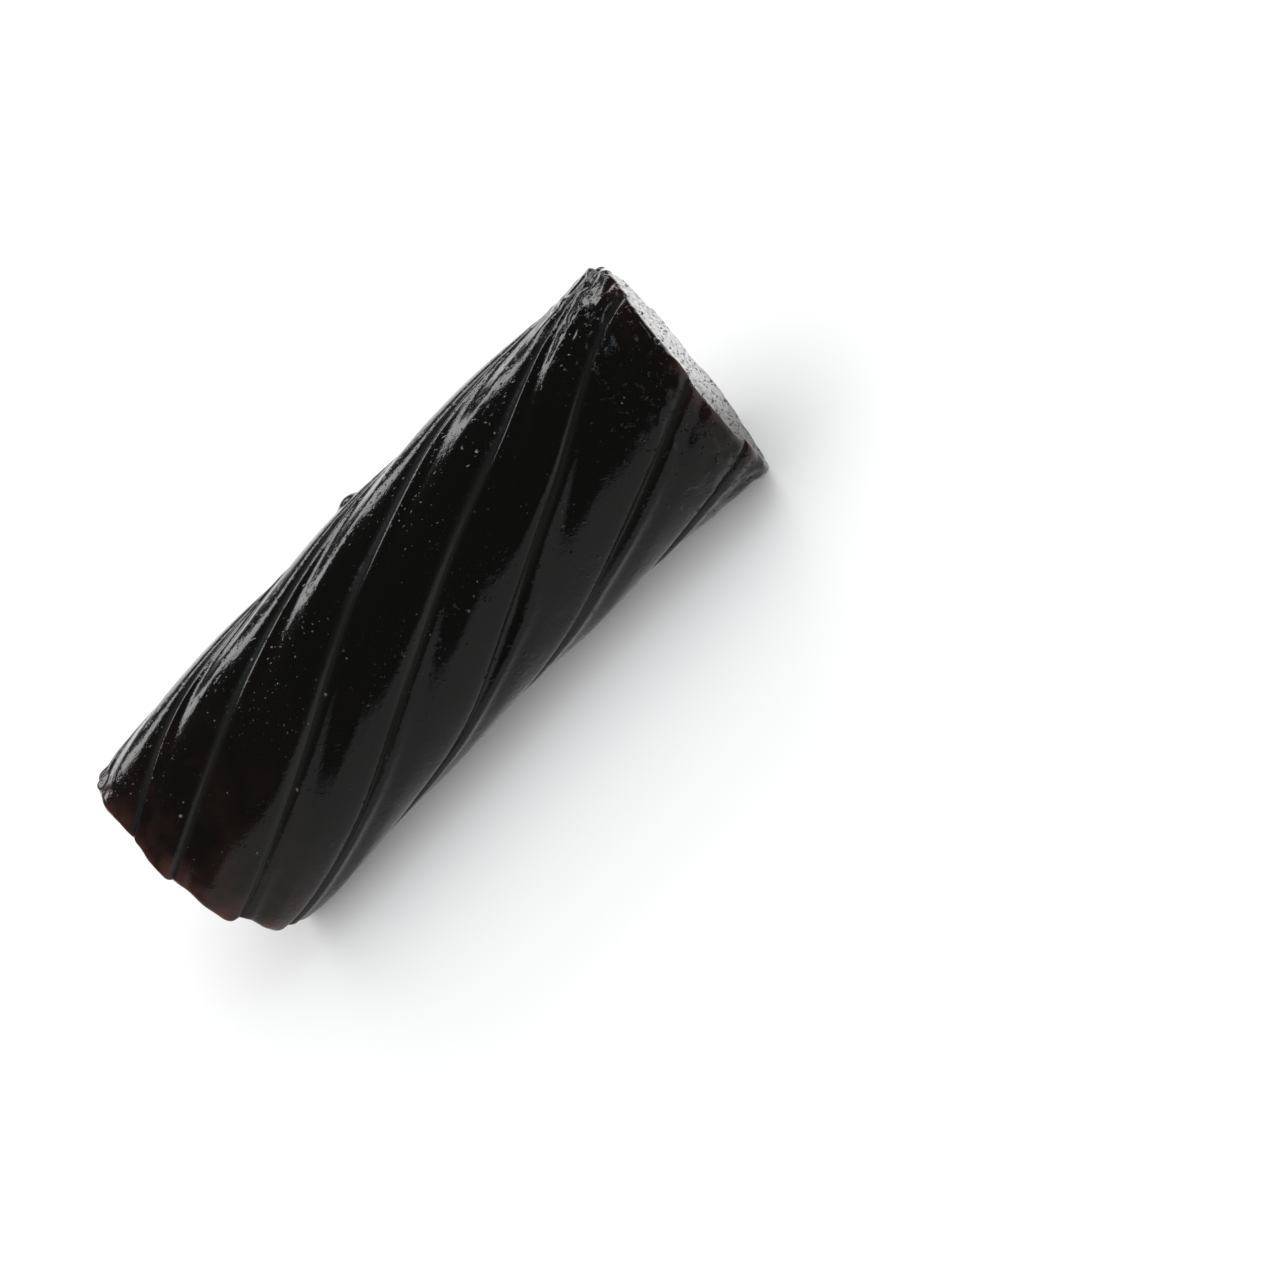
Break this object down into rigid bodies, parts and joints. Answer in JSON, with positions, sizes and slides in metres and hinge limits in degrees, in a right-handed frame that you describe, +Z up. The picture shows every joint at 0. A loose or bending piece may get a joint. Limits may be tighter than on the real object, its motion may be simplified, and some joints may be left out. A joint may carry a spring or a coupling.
{
  "type": "soft black licorice piece",
  "caption": "Short cut length of thick twisted black licorice rope with rounded ribs, narrow creases between them and slanted cut ends, lying on its side.",
  "frame": {"origin": "under the middle of the piece's box, on the surface that it rests on", "axes": "+Z up; +X along the rope, towards the cut that turns to the camera; -Y towards the side that the picture shows"},
  "size_m": [0.0502, 0.02, 0.0177],
  "materials": {
    "licorice": "glossy near-black, matt on the cut ends"
  },
  "bodies": {
    "root": {"licorice": "licorice"}
  },
  "joints": []
}
